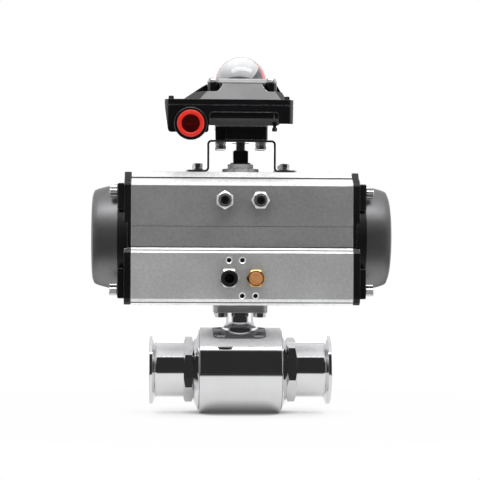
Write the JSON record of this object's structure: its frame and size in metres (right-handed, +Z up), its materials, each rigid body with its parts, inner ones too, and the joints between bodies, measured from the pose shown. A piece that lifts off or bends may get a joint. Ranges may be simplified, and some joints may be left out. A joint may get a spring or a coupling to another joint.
{
  "type": "pneumatic ball valve",
  "caption": "Clamp-end sanitary ball valve with a spring-return rack and pinion actuator and a limit switch box on a bracket.",
  "frame": {"origin": "where the pipe axis crosses the stem axis, at the ball's centre", "axes": "+X along the pipe to the picture's right, -Y towards the air ports and the camera, +Z up the stem"},
  "size_m": [0.273, 0.1244, 0.3305],
  "materials": {
    "polished_steel": "mirror polished stainless",
    "zinc_steel": "satin stainless",
    "blasted_aluminium": "bead blasted, hard anodised",
    "dark_paint": "satin powder coat",
    "black_plastic": "gloss",
    "grey_plastic": "moulded",
    "white_seal": "waxy fluoropolymer",
    "black_rubber": "matte",
    "dark_steel": "blackened",
    "spring_steel": "drawn",
    "nickel": "nickel plated",
    "brass": "turned",
    "sintered_bronze": "sintered",
    "clear_plastic": "clear moulded",
    "red_plastic": "moulded"
  },
  "bodies": {
    "housing": {"valve_body": "polished_steel", "left_seat": "white_seal", "right_seat": "white_seal", "left_body_seal": "white_seal", "right_body_seal": "white_seal", "left_end_fitting": "polished_steel", "right_end_fitting": "polished_steel", "stem_packing": "white_seal", "packing_gland": "zinc_steel", "mount_bolt_1": "zinc_steel", "mount_bolt_2": "zinc_steel", "mount_bolt_3": "zinc_steel", "mount_bolt_4": "zinc_steel", "actuator_body": "blasted_aluminium", "left_end_cap": "dark_paint", "right_end_cap": "dark_paint", "left_cap_screw_1": "polished_steel", "left_cap_screw_2": "polished_steel", "left_cap_screw_3": "polished_steel", "left_cap_screw_4": "polished_steel", "right_cap_screw_1": "polished_steel", "right_cap_screw_2": "polished_steel", "right_cap_screw_3": "polished_steel", "right_cap_screw_4": "polished_steel", "pinion_thrust_washer": "zinc_steel", "left_spring": "spring_steel", "right_spring": "spring_steel", "left_stop_screw": "dark_steel", "right_stop_screw": "dark_steel", "left_stop_nut": "zinc_steel", "right_stop_nut": "zinc_steel", "air_fitting": "nickel", "silencer": "brass", "silencer_disc": "sintered_bronze", "bracket": "zinc_steel", "foot_bolt_1": "zinc_steel", "foot_bolt_2": "zinc_steel", "foot_bolt_3": "zinc_steel", "foot_bolt_4": "zinc_steel", "box_bolt_1": "zinc_steel", "box_bolt_2": "zinc_steel", "switch_base": "black_plastic", "entry_plug": "red_plastic", "switch_lid": "black_plastic", "dome": "clear_plastic", "lower_microswitch": "grey_plastic", "upper_microswitch": "grey_plastic"},
    "pinion_shaft": {"pinion": "dark_steel", "pinion_collar": "clear_plastic"},
    "stem": {"valve_stem": "zinc_steel"},
    "flow_ball": {"ball": "polished_steel"},
    "left_piston_set": {"left_piston": "blasted_aluminium", "left_piston_ring": "black_rubber"},
    "right_piston_set": {"right_piston": "blasted_aluminium", "right_piston_ring": "black_rubber"},
    "beacon_shaft": {"switch_shaft": "zinc_steel", "lower_cam": "grey_plastic", "upper_cam": "grey_plastic", "indicator": "red_plastic"},
    "tube_release": {"release_collar": "black_plastic"}
  },
  "joints": [
    {"name": "pinion_turn", "type": "hinge", "parent": "housing", "child": "pinion_shaft", "pos_m": [0, 0, 0.1225], "axis": [0, 0, 1], "range_deg": [0, 90]},
    {"name": "stem_turn", "type": "hinge", "parent": "housing", "child": "stem", "pos_m": [0, 0, 0.05], "axis": [0, 0, 1], "range_deg": [0, 90]},
    {"name": "ball_turn", "type": "hinge", "parent": "housing", "child": "flow_ball", "pos_m": [0, 0, 0], "axis": [0, 0, 1], "range_deg": [0, 90]},
    {"name": "beacon_turn", "type": "hinge", "parent": "housing", "child": "beacon_shaft", "pos_m": [0, 0, 0.22], "axis": [0, 0, 1], "range_deg": [0, 90]},
    {"name": "left_piston_slide", "type": "slide", "parent": "housing", "child": "left_piston_set", "axis": [-1, 0, 0], "range_m": [0, 0.0315], "deforming": ["left_spring"]},
    {"name": "right_piston_slide", "type": "slide", "parent": "housing", "child": "right_piston_set", "axis": [1, 0, 0], "range_m": [0, 0.0315], "deforming": ["right_spring"]},
    {"name": "release_push", "type": "slide", "parent": "housing", "child": "tube_release", "axis": [0, 1, 0], "range_m": [0, 0.0015], "stiffness_N_per_m": 800}
  ],
  "couplings": [
    {"joint": "stem_turn", "follows": "pinion_turn", "ratio": 1},
    {"joint": "ball_turn", "follows": "pinion_turn", "ratio": 1},
    {"joint": "beacon_turn", "follows": "pinion_turn", "ratio": 1},
    {"joint": "left_piston_slide", "follows": "pinion_turn", "m_per_rad": 0.02},
    {"joint": "right_piston_slide", "follows": "pinion_turn", "m_per_rad": 0.02}
  ]
}
